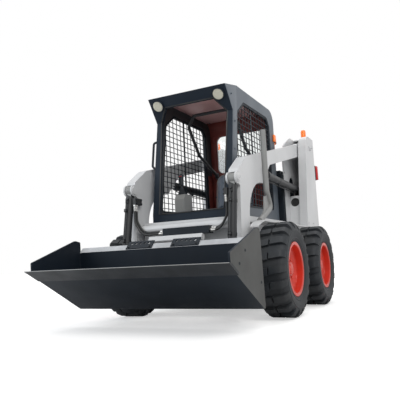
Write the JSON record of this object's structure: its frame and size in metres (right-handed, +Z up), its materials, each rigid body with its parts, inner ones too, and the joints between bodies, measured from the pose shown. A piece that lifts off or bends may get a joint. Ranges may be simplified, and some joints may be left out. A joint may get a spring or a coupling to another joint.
{
  "type": "skid-steer loader",
  "caption": "Compact rigid-frame wheeled loader with a caged cab, radial lift arms on rear towers and a wide front bucket; arm, bucket, wheels and covers move.",
  "frame": {"origin": "on the ground under the centre of the bounding box", "axes": "+Z up, front of the machine toward -Y, its left side toward +X"},
  "size_m": [1.752, 3.3378, 2.076],
  "materials": {
    "body_paint": "gloss paint",
    "grey_paint": "satin paint",
    "black_paint": "satin paint",
    "engine_iron": "rough casting",
    "cab_paint": "satin paint",
    "interior_paint": "satin paint",
    "window_glass": "clear",
    "lamp_lens": "clear moulding",
    "amber_lens": "clear moulding",
    "red_lens": "clear moulding",
    "seat_cover": "film-wrapped vinyl",
    "console_plastic": "moulded",
    "black_plastic": "moulded",
    "hose_rubber": "smooth",
    "bucket_paint": "satin paint",
    "edge_steel": "worn",
    "cylinder_paint": "satin paint",
    "rod_chrome": "polished",
    "tyre_rubber": "matt",
    "rim_paint": "gloss paint"
  },
  "bodies": {
    "chassis": {"main_frame": "body_paint", "tower_left": "body_paint", "tower_right": "body_paint", "fenders": "body_paint", "guard_bars": "grey_paint", "axle_housings": "black_paint", "engine_block": "engine_iron", "cab_floor": "cab_paint", "cab_front": "cab_paint", "cab_roof": "cab_paint", "cab_back": "cab_paint", "cab_side_left": "cab_paint", "cab_side_right": "cab_paint", "side_screen_left": "black_paint", "side_screen_right": "black_paint", "rear_window": "window_glass", "work_lamps": "lamp_lens", "grab_handle": "black_paint", "amber_lamps": "amber_lens", "tail_lamps": "red_lens", "seat_pedestal": "interior_paint", "seat": "seat_cover", "consoles": "console_plastic", "joysticks": "black_plastic"},
    "lift_arm": {"lift_arm_left": "body_paint", "lift_arm_right": "body_paint", "arm_cross_tube": "body_paint", "hose_guard": "black_paint", "arm_hoses": "hose_rubber"},
    "bucket": {"coupler": "body_paint", "bucket_shell": "bucket_paint", "bucket_sides": "bucket_paint", "cutting_edge": "edge_steel", "bucket_steps": "black_paint"},
    "lift_barrel": {"lift_barrels": "cylinder_paint"},
    "lift_rod": {"lift_rods": "rod_chrome"},
    "tilt_barrel": {"tilt_barrels": "cylinder_paint"},
    "tilt_rod": {"tilt_rods": "rod_chrome"},
    "door": {"rear_door": "body_paint"},
    "lid": {"engine_lid": "black_paint"},
    "seat_guard": {"seat_bar": "grey_paint"},
    "wheel_front_left": {"tyre_front_left": "tyre_rubber", "rim_front_left": "rim_paint"},
    "wheel_front_right": {"tyre_front_right": "tyre_rubber", "rim_front_right": "rim_paint"},
    "wheel_rear_left": {"tyre_rear_left": "tyre_rubber", "rim_rear_left": "rim_paint"},
    "wheel_rear_right": {"tyre_rear_right": "tyre_rubber", "rim_rear_right": "rim_paint"}
  },
  "joints": [
    {"name": "lift", "type": "hinge", "parent": "chassis", "child": "lift_arm", "pos_m": [0, 1.29386, 1.735], "axis": [-1, 0, 0], "range_deg": [0, 60]},
    {"name": "bucket_tilt", "type": "hinge", "parent": "lift_arm", "child": "bucket", "pos_m": [0, -0.77114, 0.21], "axis": [1, 0, 0], "range_deg": [0, 125]},
    {"name": "lift_barrel_swing", "type": "hinge", "parent": "chassis", "child": "lift_barrel", "pos_m": [0, 1.36386, 1.235], "axis": [-1, 0, 0], "range_deg": [0, 50.18]},
    {"name": "lift_rod_slide", "type": "slide", "parent": "lift_barrel", "child": "lift_rod", "axis": [0, -0.9995, 0.0307], "range_m": [0, 0.4164]},
    {"name": "tilt_barrel_swing", "type": "hinge", "parent": "lift_arm", "child": "tilt_barrel", "pos_m": [0, -0.74114, 1.145], "axis": [1, 0, 0], "range_deg": [0, 3.33]},
    {"name": "tilt_rod_slide", "type": "slide", "parent": "tilt_barrel", "child": "tilt_rod", "axis": [0, -0.1657, -0.9862], "range_m": [0, 0.36]},
    {"name": "wheel_front_left_spin", "type": "hinge", "parent": "chassis", "child": "wheel_front_left", "pos_m": [0.744, -0.35914, 0.393], "axis": [1, 0, 0], "continuous": true},
    {"name": "wheel_front_right_spin", "type": "hinge", "parent": "chassis", "child": "wheel_front_right", "pos_m": [-0.744, -0.35914, 0.393], "axis": [1, 0, 0], "continuous": true},
    {"name": "wheel_rear_left_spin", "type": "hinge", "parent": "chassis", "child": "wheel_rear_left", "pos_m": [0.744, 0.68686, 0.393], "axis": [1, 0, 0], "continuous": true},
    {"name": "wheel_rear_right_spin", "type": "hinge", "parent": "chassis", "child": "wheel_rear_right", "pos_m": [-0.744, 0.68686, 0.393], "axis": [1, 0, 0], "continuous": true},
    {"name": "rear_door_swing", "type": "hinge", "parent": "chassis", "child": "door", "pos_m": [-0.43, 1.59186, 0.9], "axis": [0, 0, 1], "range_deg": [0, 100]},
    {"name": "engine_lid_lift", "type": "hinge", "parent": "chassis", "child": "lid", "pos_m": [0, 0.88886, 1.415], "axis": [1, 0, 0], "range_deg": [0, 60]},
    {"name": "seat_bar_lower", "type": "hinge", "parent": "chassis", "child": "seat_guard", "pos_m": [0, 0.62886, 1.43], "axis": [1, 0, 0], "range_deg": [0, 48]}
  ],
  "couplings": [
    {"joint": "lift_barrel_swing", "follows": "lift", "ratio": 0.83544},
    {"joint": "lift_rod_slide", "follows": "lift", "m_per_rad": 0.39741},
    {"joint": "tilt_barrel_swing", "follows": "bucket_tilt", "ratio": 0.026267},
    {"joint": "tilt_rod_slide", "follows": "bucket_tilt", "m_per_rad": 0.16491}
  ]
}
